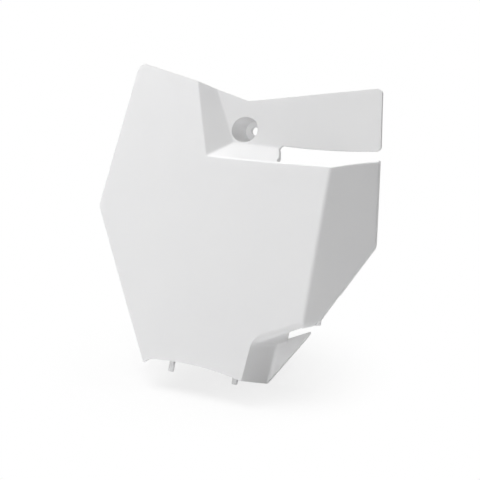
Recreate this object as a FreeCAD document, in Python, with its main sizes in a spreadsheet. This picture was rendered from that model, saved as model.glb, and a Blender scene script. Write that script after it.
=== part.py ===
import FreeCAD, Part
import os
import Sketcher
from FreeCAD import Placement, Rotation, Vector

# Front number board of an off-road motorcycle, injection moulded in one piece.
#
# The board is drawn in a plate frame: X to the right as seen from the front, Y backwards
# through the plate, Z up along it, with the mouth of the bolt's counterbore over the
# origin. The finished body leans back about X, as it does on the machine.

os.makedirs("parts", exist_ok=True)
doc = FreeCAD.newDocument("NumberBoard")
sheet = doc.addObject("Spreadsheet::Sheet", "Sizes")

SIZES = [
    ("lean_back", 22.5, "degrees, top of the plate backwards"),
    ("wall_thickness", 2.6, "moulded wall"),
    ("blank_margin", 40, "form beyond the outline, trimmed off"),
    ("blank_depth", 75, "depth of the form behind the datum"),
    ("cut_front", 4, "start of the recesses in front of the datum"),
    ("edge_back", 2.5, "panel edges behind the datum"),
    ("crown_front", 2.5, "panel middle in front of the datum"),
    ("crown_side", 16, "middle of the crown, left of the bolt"),
    ("crease_side", 85.5, "fold between panel and side flange"),
    ("flange_run", 31.7, "flange, sideways travel"),
    ("flange_rise", 45.5, "flange, depth over that travel"),
    ("ear_side", 106, "upper left corner, sideways"),
    ("ear_top", 48.8, "upper left corner, up"),
    ("vertex_side", 119.4, "widest point on the left, sideways"),
    ("vertex_drop", 78.2, "widest points, down"),
    ("foot_side", 43.4, "lower left foot, sideways"),
    ("foot_drop", 200.4, "lower left foot, down"),
    ("foot_width", 4.4, "width of the foot"),
    ("foot_height", 3.4, "height of the foot"),
    ("arch_radius", 270, "arched lower edge"),
    ("notch_side", 1.5, "bottom of the upper notch, left of the bolt"),
    ("notch_top", 23.6, "bottom of the upper notch, up"),
    ("wing_side", 102.2, "upper right corner, sideways"),
    ("wing_top", 47.4, "upper right corner, up"),
    ("rim_side", 109.2, "right rim at the upper slot, sideways"),
    ("vertex_right", 115.7, "widest point on the right, sideways"),
    ("flange_foot", 83, "lower end of the flange, sideways"),
    ("flange_end", 153.2, "lower end of the flange, down"),
    ("flange_bow", 19, "radius of the flange's lower corner"),
    ("rim_foot", 94.2, "lower end of the rim, sideways"),
    ("rim_drop", 141.5, "lower end of the rim, down"),
    ("heel_side", 43.3, "lower corner of the fin, sideways"),
    ("heel_drop", 199.8, "lower corner of the fin, down"),
    ("recess_side", 21.8, "lower left corner of the recess, left of the bolt"),
    ("recess_drop", 28.2, "front edge of the ledge, down"),
    ("recess_slant", 0.356, "recess wall, across for each up"),
    ("recess_run", 1.36, "recess wall, across for each back"),
    ("recess_depth", 14, "recess floor behind the datum at the bolt"),
    ("floor_drop", 12, "recess floor down to the ledge"),
    ("wing_sweep", 13, "degrees, sweep of the recess floor to the right"),
    ("pocket_side", 47.3, "hose pocket, upper inner corner, sideways"),
    ("pocket_drop", 171, "hose pocket, upper inner corner, down"),
    ("pocket_flare", 0.08, "pocket wall, across for each down"),
    ("pocket_draft", 0.8, "pocket wall drawn in at the fin"),
    ("pocket_depth", 49, "fin behind the datum"),
    ("roof_climb", 0.48, "pocket roof, up for each across"),
    ("roof_draft", 4.6, "pocket roof higher at the fin"),
    ("fin_side", 73.4, "tip of the fin, sideways"),
    ("fin_drop", 153.6, "tip of the fin, down"),
    ("bore_mouth", 10.6, "counterbore radius at its mouth"),
    ("bore_seat", 8.2, "counterbore radius at the bolt head"),
    ("bore_depth", 17.5, "counterbore depth"),
    ("boss_radius", 12.2, "boss behind the recess floor"),
    ("bore_tilt", 10, "degrees, counterbore rising to the back"),
    ("bolt_radius", 3.4, "clearance hole for the bolt"),
    ("bolt_web", 3, "web under the bolt head"),
    ("rib_thickness", 1.8, "stiffening ribs"),
    ("pin_side", 29.5, "locating pins off the middle"),
    ("pin_back", 20, "locating pins behind the datum"),
    ("pin_radius", 2.4, "locating pin radius"),
    ("pin_drop", 204.2, "tips of the locating pins, down"),
    ("pin_lead", 0.7, "chamfer on the pin tips"),
    ("shelf_drop", 187, "underside of the pin shelf, down"),
    ("shelf_rim", 5, "shelf around the pins"),
    ("gusset_rise", 18, "height of the gussets on the shelf"),
    ("slot_side", 28.6, "upper slot, left end at the top, sideways"),
    ("slot_foot", 40.5, "upper slot, left end at the bottom, sideways"),
    ("slot_low", 27.4, "upper slot, lower edge, down"),
    ("slot_high", 9.2, "upper slot, upper edge at its left end, down"),
    ("rim_low", 11, "upper slot, lower edge at the rim, down"),
    ("rim_high", 3, "upper slot, upper edge at the rim, down"),
    ("wing_bow", 460, "radius of the wing's lower edge"),
    ("hose_front", 75, "hose slot, inner end at the panel, sideways"),
    ("hose_back", 55, "hose slot, inner end at the fin, sideways"),
    ("fin_slack", 12, "hose slot below the pocket's upper corner"),
    ("web_side", 81, "web behind the flange, inner end, sideways"),
    ("web_drop", 149.8, "web behind the flange, inner end, down"),
    ("web_end", 147.2, "web behind the flange, outer end, down"),
    ("web_back", 15, "web behind the flange, behind the datum"),
    ("fold_radius", 4.5, "outer radius of the side fold"),
    ("ledge_radius", 2, "outer radius along the edge of the recess"),
    ("root_radius", 3.5, "radius at the foot of the recess walls"),
    ("corner_radius", 4.5, "radius between recess wall and ledge"),
    ("roof_radius", 5, "outer radius of the fold into the pocket roof"),
    ("hollow_radius", 6, "radius between pocket wall and roof"),
    ("fin_radius", 3, "radius at the root of the fin"),
    ("ear_radius", 7, "outline radius of the upper left corner"),
    ("vertex_radius", 12, "outline radius of the widest points"),
    ("wing_radius", 4, "outline radius of the wing's corners"),
    ("slot_radius", 4, "radii of the upper slot's left end"),
    ("slot_trim", 4, "length that these radii take off the slot"),
    ("tip_radius", 1.6, "outline radius of the fin's tip"),
]


class Size:
    """A size from the sheet, or a sum or product of sizes, as number and as formula."""

    def __init__(self, text, value):
        self.text = text
        self.value = value

    def join(self, sign, other, value):
        text = other.text if isinstance(other, Size) else str(other)
        return Size("(%s %s %s)" % (self.text, sign, text), value)

    def __neg__(self):
        return Size("(-1 * %s)" % self.text, -self.value)

    def __add__(self, other):
        return self.join("+", other, self.value + number(other))

    def __sub__(self, other):
        return self.join("-", other, self.value - number(other))

    def __mul__(self, other):
        return self.join("*", other, self.value * number(other))

    def __truediv__(self, other):
        return self.join("/", other, self.value / number(other))


def number(size):
    return size.value if isinstance(size, Size) else size


def trig(kind, angle):
    """Sine, cosine or tangent of a size in degrees."""
    ways = {"sin": Vector(0, 1, 0), "cos": Vector(1, 0, 0)}
    arm = Rotation(Vector(0, 0, 1), angle.value).multVec(Vector(1, 0, 0))
    value = arm.y / arm.x if kind == "tan" else arm.dot(ways[kind])
    return Size("%s(%s * 1deg)" % (kind, angle.text), value)


def root(size):
    """Square root of a size."""
    return Size("sqrt(%s)" % size.text, size.value ** 0.5)


class Sheet:
    """The sheet's sizes by name."""


s = Sheet()
for row, (name, value, note) in enumerate(SIZES, start=1):
    sheet.set("A%d" % row, name)
    sheet.set("B%d" % row, str(value))
    sheet.set("C%d" % row, note)
    sheet.setAlias("B%d" % row, name)
    setattr(s, name, Size("Sizes." + name, value))
doc.recompute()
zero = Size("0", 0)


def new_body(name, label):
    """An empty body; every one of them leans back with the board."""
    made = doc.addObject("PartDesign::Body", name)
    made.Label = label
    return made


def sketch_on(body, role, name, base=(), about=None, angle=None):
    """A sketch flat on one of the body's origin planes, shifted and turned in it."""
    made = body.newObject("Sketcher::SketchObject", name)
    flat = next(p for p in body.Origin.OriginFeatures if p.Role == role)
    made.AttachmentSupport = [(flat, "")]
    made.MapMode = "FlatFace"
    if about:
        made.AttachmentOffset = Placement(Vector(), Rotation(Vector(*about), angle.value))
        made.setExpression("AttachmentOffset.Rotation.Angle", angle.text)
    for axis, shift in zip("xyz", base):
        if shift:
            made.setExpression("AttachmentOffset.Base." + axis, shift.text)
    return made


def tie(sketch, kind, where, size):
    """A dimension of the sketch bound to its size."""
    index = sketch.addConstraint(Sketcher.Constraint(kind, *where, size.value))
    sketch.setExpression("Constraints[%d]" % index, size.text)


def pin_point(sketch, edge, end, at):
    """Ties a point of the sketch to the origin, across and up."""
    for kind, size in zip(("DistanceX", "DistanceY"), at):
        tie(sketch, kind, (-1, 1, edge, end), size)


def polygon(sketch, points, bows=()):
    """Closed outline through pairs of sizes; bows gives some sides a radius.

    Such a side bulges to the left of its way, and with a negative radius to the right.
    """
    spots = [Vector(a.value, b.value, 0) for a, b in points]
    edges = []
    ends = []
    for i, here in enumerate(spots):
        there = spots[(i + 1) % len(spots)]
        if i in bows:
            radius = bows[i].value
            chord = there - here
            rise = abs(radius) - (radius ** 2 - chord.Length ** 2 / 4) ** 0.5
            aside = Vector(-chord.y, chord.x, 0).normalize() * rise
            middle = (here + there) / 2
            if radius > 0:
                edge = Part.Arc(there, middle + aside, here)
                ends.append((2, 1))
            else:
                edge = Part.Arc(here, middle - aside, there)
                ends.append((1, 2))
            edges.append(sketch.addGeometry(edge, False))
        else:
            edges.append(sketch.addGeometry(Part.LineSegment(here, there), False))
            ends.append((1, 2))
    for i, at in enumerate(points):
        after = (i + 1) % len(edges)
        sketch.addConstraint(Sketcher.Constraint(
            "Coincident", edges[i], ends[i][1], edges[after], ends[after][0]))
        pin_point(sketch, edges[i], ends[i][0], at)
        if i in bows:
            tie(sketch, "Radius", (edges[i],), bows[i] if bows[i].value > 0 else -bows[i])


def circle(sketch, at, radius):
    """Circle about a point."""
    centre = Vector(at[0].value, at[1].value, 0)
    made = sketch.addGeometry(Part.Circle(centre, Vector(0, 0, 1), radius.value), False)
    pin_point(sketch, made, 3, at)
    tie(sketch, "Radius", (made,), radius)


def feature(body, kind, name, **settings):
    """A feature on the tip of the body; it has to build, and to change the solid."""
    before = body.Tip.Shape.Volume if body.Tip else 0
    made = body.newObject("PartDesign::" + kind, name)
    for key, setting in settings.items():
        if isinstance(setting, Size):
            made.setExpression(key, setting.text)
        else:
            setattr(made, key, setting)
    doc.recompute()
    if "Invalid" in made.State or made.Shape.isNull() or not made.Shape.isValid():
        raise RuntimeError(name + " failed: " + str(made.State))
    if abs(made.Shape.Volume - before) < 1e-3:
        raise RuntimeError(name + " changed nothing")
    print("%-14s %9.0f mm3" % (name, made.Shape.Volume))
    return made


def nearest(shape, kind, spots):
    """Names of the edges or faces that pass closest to these points."""
    items = getattr(shape, kind + "s")
    found = []
    for spot in spots:
        probe = Part.Vertex(Vector(*[number(v) for v in spot]))
        best = min(range(len(items)), key=lambda i: items[i].distToShape(probe)[0])
        if "%s%d" % (kind, best + 1) not in found:
            found.append("%s%d" % (kind, best + 1))
    return found


def rounded(body, name, radius, spots):
    """Fillet on the edges that pass closest to these points."""
    base = body.Tip
    return feature(body, "Fillet", name, Base=(base, nearest(base.Shape, "Edge", spots)),
                   Radius=radius)


zero = Size("0", 0)
one = Size("1", 1)
wall = s.wall_thickness
top = s.ear_top + s.blank_margin
low = s.foot_drop + s.blank_margin
right = s.vertex_side + s.blank_margin

# Crown of the panel: radius from its width and rise, and its slope at the side fold.
half = s.crease_side + s.crown_side
rise = s.edge_back + s.crown_front
bow = (half * half + rise * rise) / (rise * 2)
bow_back = bow - s.crown_front
panel_x = -half / bow
panel_y = (bow - rise) / bow
flange_length = root(s.flange_run * s.flange_run + s.flange_rise * s.flange_rise)
flange_x = -s.flange_rise / flange_length
flange_y = s.flange_run / flange_length
flange_slope = s.flange_run / s.flange_rise
mitre = (panel_x + flange_x) / (panel_x * flange_x + panel_y * flange_y + 1)

# Recess for the bolt: how steep its walls are, and how far they shift to grow by one.
ledge_climb = (s.recess_drop - s.floor_drop) / (s.recess_depth + s.crown_front)
sweep_cos = trig("cos", s.wing_sweep)
sweep_tan = trig("tan", s.wing_sweep)
wall_shift = root(s.recess_run * s.recess_run + s.recess_slant * s.recess_slant + 1)
ledge_shift = root(ledge_climb * ledge_climb + 1)
pocket_shift = root(s.pocket_flare * s.pocket_flare + 1)
roof_shift = root(s.roof_climb * s.roof_climb + 1)


def front_form(body, tag, grow):
    """Front of the board as a solid, with all of its faces moved back by grow.

    In plan it has the crowned panel in front and the flange folded back on the right. The
    recess for the bolt has a slanted wall on the left, a ledge that climbs to the floor, and
    the floor swept back to the right, where it becomes the wing. The hose pocket at the
    lower right has a wall, a climbing roof and the fin as its floor.
    """
    extra = grow * 2
    wide = right + extra
    high = top + extra
    deep = s.blank_depth + extra
    plan = sketch_on(body, "XY_Plane", tag + "Plan", (None, None, -(low + extra)))
    radius = bow - grow
    crease = s.crease_side + mitre * grow
    flange_end = (s.crease_side + flange_x * grow
                  + (deep - s.edge_back - flange_y * grow) * flange_slope)
    centre = Vector(-s.crown_side.value, bow_back.value, 0)
    corners = [
        Vector(x.value, centre.y - (radius.value ** 2 - (x.value - centre.x) ** 2) ** 0.5, 0)
        for x in (-wide, crease)]
    corners += [Vector(flange_end.value, deep.value, 0), Vector(-wide.value, deep.value, 0)]
    middle = Vector(centre.x, centre.y - radius.value, 0)
    crown = plan.addGeometry(Part.Arc(corners[0], middle, corners[1]), False)
    flange, rear, side = [plan.addGeometry(Part.LineSegment(a, b), False)
                          for a, b in zip(corners[1:], corners[2:] + corners[:1])]
    for first, second in (((crown, 2), (flange, 1)), ((flange, 2), (rear, 1)),
                          ((rear, 2), (side, 1)), ((side, 2), (crown, 1))):
        plan.addConstraint(Sketcher.Constraint("Coincident", *first, *second))
    pin_point(plan, crown, 3, (-s.crown_side, bow_back))
    tie(plan, "Radius", (crown,), radius)
    tie(plan, "DistanceX", (-1, 1, crown, 1), -wide)
    tie(plan, "DistanceX", (-1, 1, crown, 2), crease)
    pin_point(plan, flange, 2, (flange_end, deep))
    pin_point(plan, rear, 2, (-wide, deep))
    feature(body, "Pad", tag + "Form", Profile=plan, Length=low + top + extra * 2)

    def wall_side(back, up):
        """Sideways place of the recess wall, this far behind the crown and this high."""
        return (s.recess_run * back - s.recess_slant * (up + s.recess_drop)
                - s.recess_side - wall_shift * grow)

    start = s.crown_front - s.cut_front
    mouth = sketch_on(body, "XZ_Plane", tag + "RecessMouth", (None, None, s.cut_front))
    mouth_up = ledge_climb * start - s.recess_drop - ledge_shift * grow
    polygon(mouth, [(wall_side(start, mouth_up), mouth_up), (wide, mouth_up), (wide, high),
                    (wall_side(start, high), high)])
    depth = s.recess_depth + grow / sweep_cos
    floor = sketch_on(body, "XZ_Plane", tag + "RecessFloor", (None, None, -depth),
                      (0, 1, 0), s.wing_sweep)
    floor_up = ledge_climb * grow / sweep_cos - s.floor_drop - ledge_shift * grow
    squeeze = (one - s.recess_run * sweep_tan) * sweep_cos

    def floor_side(up):
        """Left edge of the recess floor at this height, measured along the swept floor."""
        return wall_side(depth + s.crown_front, up) / squeeze

    polygon(floor, [(floor_side(floor_up), floor_up), (wide / sweep_cos, floor_up),
                    (wide / sweep_cos, high), (floor_side(high), high)])
    feature(body, "SubtractiveLoft", tag + "Recess", Profile=mouth, Sections=[floor],
            Ruled=True)

    foot = low + extra * 2
    across = s.pocket_side - pocket_shift * grow
    drop = s.pocket_drop + (s.roof_climb * pocket_shift - roof_shift) * grow

    def pocket_profile(name, base, side, down):
        made = sketch_on(body, "XZ_Plane", tag + name, (None, None, base))
        polygon(made, [(side, -down), (side - s.pocket_flare * (foot - down), -foot),
                       (wide, -foot), (wide, s.roof_climb * (wide - side) - down)])
        return made

    gate = pocket_profile("PocketMouth", s.cut_front, across, drop)
    back = pocket_profile("PocketFloor", -(s.pocket_depth + grow),
                          across - s.pocket_draft, drop - s.roof_draft)
    feature(body, "SubtractiveLoft", tag + "HosePocket", Profile=gate, Sections=[back],
            Ruled=True)

    # Folds: the hollow ones gain the wall on the back, the crease loses it, and the other
    # sharp ones are rounded in front only.
    rounded(body, tag + "Crease", s.fold_radius - grow,
            [(s.crease_side, s.edge_back, -s.vertex_drop)])
    back = s.recess_depth / 2
    halfway = ledge_climb * (back + s.crown_front) - s.recess_drop
    rounded(body, tag + "RecessCorner", s.corner_radius + grow,
            [(wall_side(back + s.crown_front, halfway), back, halfway)])
    foot_side = floor_side(zero) * sweep_cos
    rounded(body, tag + "RecessRoot", s.root_radius + grow,
            [(foot_side, depth + foot_side * sweep_tan, zero)])
    if not tag:
        rounded(body, "RecessFold", s.ledge_radius,
                [(s.crease_side / 2, zero, -s.recess_drop)])
        rounded(body, "RoofFold", s.roof_radius,
                [(s.fin_side, zero, s.roof_climb * (s.fin_side - s.pocket_side) - drop)])
    rounded(body, tag + "PocketHollow", s.hollow_radius + grow,
            [(across, s.pocket_depth / 2, s.roof_draft / 2 - drop)])
    rounded(body, tag + "FinRoot", s.fin_radius + grow,
            [(across - s.pocket_draft, s.pocket_depth + grow, -s.heel_drop),
             (s.fin_side, s.pocket_depth + grow, -s.fin_drop)])


board = new_body("Board", "number_board")
front_form(board, "", zero)
core = new_body("Core", "core")
front_form(core, "Core", wall)

# The plate leans back, and the middle of the web under the bolt head is the origin.
seat = s.bore_depth + s.bolt_web / 2
seat_back = s.recess_depth + seat * trig("cos", s.bore_tilt)
seat_up = seat * trig("sin", s.bore_tilt)
lean_cos = trig("cos", s.lean_back)
lean_sin = trig("sin", s.lean_back)
board.Placement = Placement(Vector(), Rotation(Vector(1, 0, 0), -s.lean_back.value))
board.setExpression("Placement.Rotation.Angle", (-s.lean_back).text)
board.setExpression("Placement.Base.y", (-seat_back * lean_cos - seat_up * lean_sin).text)
board.setExpression("Placement.Base.z", (seat_back * lean_sin - seat_up * lean_cos).text)
doc.recompute()

# One wall all over the front, open to the back and along every rim.
feature(board, "Boolean", "Hollow", Type="Cut", Group=[core])

# Outline: everything outside it, seen square on, comes off.
outline = sketch_on(board, "XZ_Plane", "Outline", (None, None, s.cut_front))
wide = right + s.blank_margin
tall = low + s.blank_margin
polygon(outline, [(-wide, -tall), (wide, -tall), (wide, tall), (-wide, tall)])
polygon(outline, [
    (-s.ear_side, s.ear_top), (-s.vertex_side, -s.vertex_drop), (-s.foot_side, -s.foot_drop),
    (s.foot_width - s.foot_side, s.foot_height - s.foot_drop),
    (s.pocket_side + 1, -s.foot_drop), (s.flange_foot, -s.flange_end),
    (s.rim_foot, -s.rim_drop), (s.vertex_right, -s.vertex_drop),
    (s.rim_side, -s.rim_high), (s.wing_side, s.wing_top), (-s.notch_side, s.notch_top)],
    {3: s.arch_radius, 5: -s.flange_bow})
feature(board, "Pocket", "Trim", Profile=outline, Type="ThroughAll")

# The fin reaches past the panel to its own tip.
fin = sketch_on(board, "XZ_Plane", "FinOutline",
                (None, None, s.fin_radius - s.pocket_depth))
above = s.rim_drop - s.blank_margin / 2
polygon(fin, [(s.heel_side, -s.heel_drop), (s.fin_side, -s.fin_drop), (s.fin_side, -above),
              (wide, -above), (wide, -tall), (s.heel_side, -tall)])
feature(board, "Pocket", "FinCut", Profile=fin, Type="ThroughAll")

# Upper slot: parts the wing from the ledge and the flange, open at the right rim.
slot = sketch_on(board, "XZ_Plane", "UpperSlot", (None, None, s.cut_front))
polygon(slot, [
    (s.slot_side + s.slot_trim, -s.slot_high),
    (s.slot_side + s.slot_trim / 2, -s.slot_high - s.slot_trim),
    (s.slot_foot - s.slot_trim / 2, s.slot_trim - s.slot_low),
    (s.slot_foot + s.slot_trim / 2, -s.slot_low), (s.crease_side, -s.slot_low),
    (s.rim_side, -s.rim_low), (wide, -s.rim_low), (wide, -s.rim_high),
    (s.rim_side, -s.rim_high)], {0: -s.slot_radius, 2: -s.slot_radius, 8: s.wing_bow})
feature(board, "Pocket", "SlotCut", Profile=slot, Type="ThroughAll")

# Hose slot: the roof stops short of the flange, which leaves the fin's tip free.
hose = sketch_on(board, "XY_Plane", "HoseSlot", (None, None, -(s.pocket_drop + s.fin_slack)))
skin = s.edge_back + wall
inner = s.crease_side + mitre * wall
polygon(hose, [
    (s.hose_front, skin), (inner, skin),
    (inner + (s.pocket_depth - s.edge_back) * flange_slope, s.pocket_depth),
    (s.hose_back, s.pocket_depth)])
feature(board, "Pocket", "HoseCut", Profile=hose, Type="Length",
        Length=s.pocket_drop + s.fin_slack - above, Reversed=True)

# Corners of the outline, rounded as seen square on.
def floor_at(side):
    """Middle of the recess floor's wall, behind the datum, at this distance sideways."""
    return s.recess_depth + wall / 2 + side * sweep_tan


def flange_at(side):
    """Middle of the flange's wall, behind the datum, at this distance sideways."""
    return s.edge_back + wall + (side - s.crease_side) / flange_slope


def panel_at(side):
    """Middle of the panel's wall, behind the datum, at this distance sideways."""
    radius = bow - wall / 2
    off = side + s.crown_side
    return bow_back - root(radius * radius - off * off)


rounded(board, "EarCorner", s.ear_radius, [(-s.ear_side, panel_at(-s.ear_side), s.ear_top)])
rounded(board, "VertexCorners", s.vertex_radius,
        [(-s.vertex_side, panel_at(-s.vertex_side), -s.vertex_drop),
         (s.vertex_right, flange_at(s.vertex_right), -s.vertex_drop)])
rounded(board, "WingCorners", s.wing_radius,
        [(s.wing_side, floor_at(s.wing_side), s.wing_top),
         (s.rim_side, floor_at(s.rim_side), -s.rim_high)])
rounded(board, "NotchCorner", s.ear_radius,
        [(-s.notch_side, floor_at(-s.notch_side), s.notch_top)])
rounded(board, "FinTip", s.tip_radius, [(s.fin_side, s.pocket_depth + wall / 2, -s.fin_drop)])

# Web behind the lower end of the flange, seen from the front under its edge.
web = sketch_on(board, "XZ_Plane", "FlangeWebSide",
                (None, None, -(s.web_back + s.rib_thickness)))
polygon(web, [(s.web_side, -s.web_drop), (s.rim_foot, -s.web_end),
              (s.rim_foot, -s.rim_drop + wall * 2), (s.web_side, -s.rim_drop + wall * 2)])
feature(board, "Pad", "FlangeWeb", Profile=web, Length=s.rib_thickness)

# Boss behind the recess floor, with the counterbore and the bolt's clearance hole.
boss_length = s.bore_depth + s.bolt_web
boss = sketch_on(board, "XZ_Plane", "BossEnd",
                 (None, boss_length * trig("sin", s.bore_tilt),
                  -(s.recess_depth + boss_length * trig("cos", s.bore_tilt))),
                 (1, 0, 0), s.bore_tilt)
circle(boss, (zero, zero), s.boss_radius)
reach = nearest(board.Tip.Shape, "Face", [
    (s.boss_radius * 2, s.recess_depth + s.boss_radius * 2 * sweep_tan, s.notch_top / 2)])
feature(board, "Pad", "Boss", Profile=boss, Type="UpToFace", UpToFace=(board.Tip, reach))
bore = sketch_on(board, "YZ_Plane", "BoreProfile", (s.recess_depth, None, None), (0, 0, 1),
                 s.bore_tilt)
taper = (s.bore_mouth - s.bore_seat) / s.bore_depth
ahead = s.recess_depth / 2
through = boss_length + s.bolt_web
polygon(bore, [(-ahead, zero), (-ahead, s.bore_mouth + taper * ahead),
               (s.bore_depth, s.bore_seat), (s.bore_depth, s.bolt_radius),
               (through, s.bolt_radius), (through, zero)])
feature(board, "Groove", "Bore", Profile=bore, ReferenceAxis=(bore, ["H_Axis"]), Angle=360)

# Shelf behind the lower edge, with gussets on it and the two locating pins under it.
shelf = sketch_on(board, "XY_Plane", "Shelf", (None, None, -s.shelf_drop))
front = wall * 4 / 5 - s.crown_front
rim = s.pin_side + s.pin_radius + s.shelf_rim
shelf_back = s.pin_back + s.pin_radius + s.shelf_rim
shelf_end = s.pocket_side - wall * 3 / 2
polygon(shelf, [(-rim, front), (shelf_end, front), (shelf_end, shelf_back),
                (-rim, shelf_back)])
feature(board, "Pad", "PinShelf", Profile=shelf, Length=wall)
for name, side in (("Left", -s.pin_side), ("Right", s.pin_side)):
    gusset = sketch_on(board, "YZ_Plane", name + "GussetSide", (None, None, side))
    polygon(gusset, [(front, -s.shelf_drop), (shelf_back - s.shelf_rim, -s.shelf_drop),
                     (shelf_back - s.shelf_rim, wall * 2 - s.shelf_drop),
                     (front, s.gusset_rise - s.shelf_drop)])
    feature(board, "Pad", name + "Gusset", Profile=gusset, Length=s.rib_thickness,
            Midplane=True)
pins = sketch_on(board, "XY_Plane", "Pins", (None, None, -s.pin_drop))
circle(pins, (-s.pin_side, s.pin_back), s.pin_radius)
circle(pins, (s.pin_side, s.pin_back), s.pin_radius)
feature(board, "Pad", "PinPair", Profile=pins, Length=s.pin_drop - s.shelf_drop + wall / 2)
rounded_tips = nearest(board.Tip.Shape, "Edge", [
    (side, s.pin_back - s.pin_radius, -s.pin_drop) for side in (-s.pin_side, s.pin_side)])
feature(board, "Chamfer", "PinLeads", Base=(board.Tip, rounded_tips), Size=s.pin_lead)

for item in doc.Objects:
    if "Invalid" in item.State or "Error" in item.State:
        raise RuntimeError(item.Label + " did not build")
if board.Shape.isNull() or not board.Shape.isValid():
    raise RuntimeError("number_board has no valid shape")
print("solids", len(board.Shape.Solids), "volume", round(board.Shape.Volume),
      board.Shape.BoundBox)
board.Shape.exportStep("parts/%s.step" % board.Label)
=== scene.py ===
import bpy
import math
from mathutils import Matrix, Vector


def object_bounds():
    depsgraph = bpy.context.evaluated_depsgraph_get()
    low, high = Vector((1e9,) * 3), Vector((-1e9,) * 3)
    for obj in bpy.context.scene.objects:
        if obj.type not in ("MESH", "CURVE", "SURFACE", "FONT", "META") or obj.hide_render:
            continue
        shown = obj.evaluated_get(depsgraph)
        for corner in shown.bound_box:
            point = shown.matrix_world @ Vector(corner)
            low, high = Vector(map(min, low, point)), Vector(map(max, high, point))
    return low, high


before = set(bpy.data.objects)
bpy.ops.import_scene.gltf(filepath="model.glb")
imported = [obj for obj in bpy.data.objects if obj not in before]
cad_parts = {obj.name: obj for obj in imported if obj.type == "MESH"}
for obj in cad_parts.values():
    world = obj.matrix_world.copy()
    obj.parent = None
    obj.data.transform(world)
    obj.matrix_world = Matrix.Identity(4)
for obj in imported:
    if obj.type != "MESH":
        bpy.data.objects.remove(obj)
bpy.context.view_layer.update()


# The board. One injection moulding in white polypropylene: panel, ledge, wing, flange,
# hose pocket and fin share one wall. Polypropylene is waxy and a little translucent, with
# a broad soft sheen; the fine spark-eroded grain of the tool only shows as that softness.
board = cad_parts["number_board"]


def srgb(code):
    """Linear colour of an sRGB hex value."""
    parts = [int(code[i:i + 2], 16) / 255 for i in (1, 3, 5)]
    return [p / 12.92 if p <= 0.04045 else ((p + 0.055) / 1.055) ** 2.4 for p in parts] + [1]


def add(tree, kind, links=(), **settings):
    """One node, with its settings and the links into it."""
    made = tree.nodes.new(kind)
    for key, value in settings.items():
        if key in made.inputs:
            made.inputs[key].default_value = value
        else:
            setattr(made, key, value)
    for source, target in links:
        tree.links.new(source, made.inputs[target])
    return made


def grain_scale(size_mm):
    """Scale of a noise whose grains are this wide, on coordinates in metres."""
    return 1 / (size_mm / 1000)


cloud_mm = 60               # the melt's flow leaves barely lighter and darker areas
grain_mm = 0.9
grain_height = 0.00004
glow_depth = 0.0047         # how far light spreads inside the thin wall

moulded = bpy.data.materials.new("white_moulded_polypropylene")
moulded.use_nodes = True
tree = moulded.node_tree
shader = tree.nodes["Principled BSDF"]
shader.inputs["Roughness"].default_value = 0.42
shader.inputs["IOR"].default_value = 1.49
shader.inputs["Subsurface Weight"].default_value = 0.35
shader.inputs["Subsurface Radius"].default_value = (glow_depth, glow_depth, glow_depth)
shader.inputs["Subsurface Scale"].default_value = 1.0
place = add(tree, "ShaderNodeTexCoord")
clouds = add(tree, "ShaderNodeTexNoise", [(place.outputs["Object"], "Vector")],
             Scale=grain_scale(cloud_mm), Detail=2.0)
tone = add(tree, "ShaderNodeMix", [(clouds.outputs["Fac"], "Factor")], data_type="RGBA")
tone.inputs["A"].default_value = srgb("#ECECED")
tone.inputs["B"].default_value = srgb("#F0F0F0")
tree.links.new(tone.outputs["Result"], shader.inputs["Base Color"])
grain = add(tree, "ShaderNodeTexNoise", [(place.outputs["Object"], "Vector")],
            Scale=grain_scale(grain_mm), Detail=3.0)
relief = add(tree, "ShaderNodeBump", [(grain.outputs["Fac"], "Height")],
             Strength=0.12, Distance=grain_height)
tree.links.new(relief.outputs["Normal"], shader.inputs["Normal"])
board.data.materials.clear()
board.data.materials.append(moulded)


# The floor. A matt white sheet under the board that takes its soft shadow, partly rendered
# and partly painted shade.
# Away from the board the lens sees it as plain white, like the background; near it a disc of
# painted shade lets the lit sheet show through the white.
low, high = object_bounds()
floor_level = low.z - 0.0005
reach = 6.0
shadow_middle = (-0.02, -0.04, floor_level)
shadow_inner = 0.03         # up to here the shadow and the painted shade are at their strongest
shadow_outer = 0.16         # and here the painted shade has faded into the white
shadow_share = 0.33


def ramp(tree, source, start, end, first, last, **settings):
    """The value first where source is start, changing to last where it is end."""
    made = add(tree, "ShaderNodeMapRange", [(source, "Value")], **settings)
    made.inputs["From Min"].default_value = start
    made.inputs["From Max"].default_value = end
    made.inputs["To Min"].default_value = first
    made.inputs["To Max"].default_value = last
    return made.outputs["Result"]


def background_rays(tree):
    """1 for the rays that see the plain background: the lens's own, and those that are
    mirrored or shine through."""
    path = add(tree, "ShaderNodeLightPath")
    mirrored = add(tree, "ShaderNodeMath", [(path.outputs["Is Glossy Ray"], 0),
                                            (path.outputs["Is Transmission Ray"], 1)],
                   operation="MAXIMUM")
    seen = add(tree, "ShaderNodeMath", [(path.outputs["Is Camera Ray"], 0),
                                        (mirrored.outputs["Value"], 1)],
               operation="MAXIMUM")
    return seen.outputs["Value"]


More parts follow.
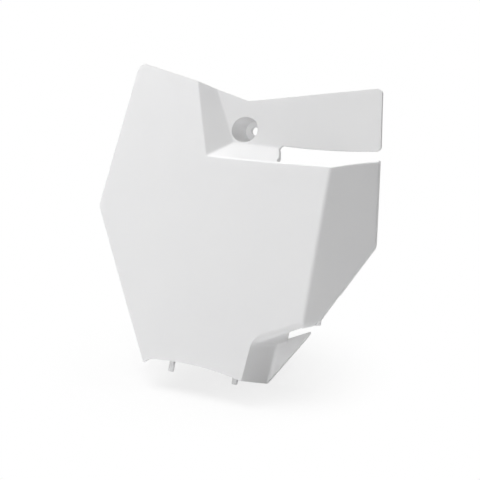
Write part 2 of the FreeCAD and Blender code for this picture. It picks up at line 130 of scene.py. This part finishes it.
ground = bpy.data.meshes.new("floor")
ground.from_pydata([(-reach, -reach, 0), (reach, -reach, 0), (reach, reach, 0),
                    (-reach, reach, 0)], [], [(0, 1, 2, 3)])
ground.transform(Matrix.Translation((0, 0, floor_level)))
floor = bpy.data.objects.new("floor", ground)
bpy.context.scene.collection.objects.link(floor)
paper = bpy.data.materials.new("matt_white_paper")
paper.use_nodes = True
tree = paper.node_tree
sheet = tree.nodes["Principled BSDF"]
sheet.inputs["Base Color"].default_value = srgb("#FCFCFC")
sheet.inputs["Roughness"].default_value = 0.9
sheet.inputs["Specular IOR Level"].default_value = 0.0
plain = add(tree, "ShaderNodeEmission", Color=(1, 1, 1, 1), Strength=1.0)
place = add(tree, "ShaderNodeTexCoord")
offset = add(tree, "ShaderNodeVectorMath", [(place.outputs["Object"], 0)],
             operation="SUBTRACT")
offset.inputs[1].default_value = shadow_middle
away = add(tree, "ShaderNodeVectorMath", [(offset.outputs["Vector"], 0)], operation="LENGTH")
# Painted shade: a disc round shadow_middle where the lit sheet shows through the white glow,
# darkening the floor there and carrying the rendered shadow.
share = ramp(tree, away.outputs["Value"], shadow_inner, shadow_outer, shadow_share, 0.0,
             interpolation_type="SMOOTHSTEP")
shaded = add(tree, "ShaderNodeMixShader", [
    (share, "Fac"), (plain.outputs[0], 1), (sheet.outputs["BSDF"], 2)])
shown = add(tree, "ShaderNodeMixShader", [
    (background_rays(tree), "Fac"), (sheet.outputs["BSDF"], 1), (shaded.outputs[0], 2)])
tree.links.new(shown.outputs[0], tree.nodes["Material Output"].inputs["Surface"])
ground.materials.append(paper)


# The light. A dim white room, brightest on the left, seen as plain white in the picture and
# in what the board mirrors. A broad lamp overhead on the left lights the ledge most, and
# a weak one low in front on the right reaches the flange, the pocket and the fin.
bright_side = (-0.94, 0.35, 0.0)
dim, bright = 0.03, 0.53
lamp_distance = 1.3
lamp_side = 0.8
middle = (low + high) / 2

world = bpy.data.worlds.new("white_room")
bpy.context.scene.world = world
world.use_nodes = True
tree = world.node_tree
tree.nodes.clear()
place = add(tree, "ShaderNodeTexCoord")
side = add(tree, "ShaderNodeVectorMath", [(place.outputs["Generated"], 0)],
           operation="DOT_PRODUCT")
side.inputs[1].default_value = bright_side
room = add(tree, "ShaderNodeBackground", [
    (ramp(tree, side.outputs["Value"], -0.1, 1.0, dim, bright), "Strength")],
           Color=(1, 1, 1, 1))
white = add(tree, "ShaderNodeBackground", Color=(1, 1, 1, 1), Strength=1.0)
shown = add(tree, "ShaderNodeMixShader", [
    (background_rays(tree), "Fac"), (room.outputs[0], 1), (white.outputs[0], 2)])
add(tree, "ShaderNodeOutputWorld", [(shown.outputs[0], "Surface")])


def lamp(name, toward, watts):
    """A square lamp in this direction from the board, facing it."""
    data = bpy.data.lights.new(name, "AREA")
    data.shape = "SQUARE"
    data.size = lamp_side
    data.energy = watts
    made = bpy.data.objects.new(name, data)
    way = Vector(toward).normalized()
    made.location = middle + way * lamp_distance
    made.rotation_mode = "QUATERNION"
    made.rotation_quaternion = (-way).to_track_quat("-Z", "Y")
    bpy.context.scene.collection.objects.link(made)


lamp("key_lamp", (-0.46, -0.03, 0.89), 14.2)
lamp("fill_lamp", (0.35, -0.9, 0.35), 5.8)


# The camera, at the photograph's viewing angle. It aims at a point on the board's face, a
# little below the bolt hole, and stands lower and to the left of that line.
turn = math.radians(28.5)
rise = math.radians(14.2)
lean = math.radians(22.5)
distance = 0.824
to_left = 0.00416
below = 0.08856
drop = 0.003326             # of the aim point, down the leaning face

camera = bpy.data.cameras.new("camera")
camera.sensor_width = 36
camera.lens = 36 * 1030 / 480
view = bpy.data.objects.new("camera", camera)
across = Vector((math.cos(turn), math.sin(turn), 0))
upward = Vector((-math.sin(turn) * math.sin(rise), math.cos(turn) * math.sin(rise),
                 math.cos(rise)))
ahead = Vector((-math.sin(turn) * math.cos(rise), math.cos(turn) * math.cos(rise),
                -math.sin(rise)))
aim = Vector((0.00762, -0.031484 - drop * math.sin(lean), 0.009470 - drop * math.cos(lean)))
stand = aim - ahead * distance - across * to_left - upward * below
view.matrix_world = Matrix((
    (across.x, upward.x, -ahead.x, stand.x),
    (across.y, upward.y, -ahead.y, stand.y),
    (across.z, upward.z, -ahead.z, stand.z),
    (0, 0, 0, 1)))
bpy.context.scene.collection.objects.link(view)
bpy.context.scene.camera = view
bpy.context.scene.view_settings.view_transform = "Standard"
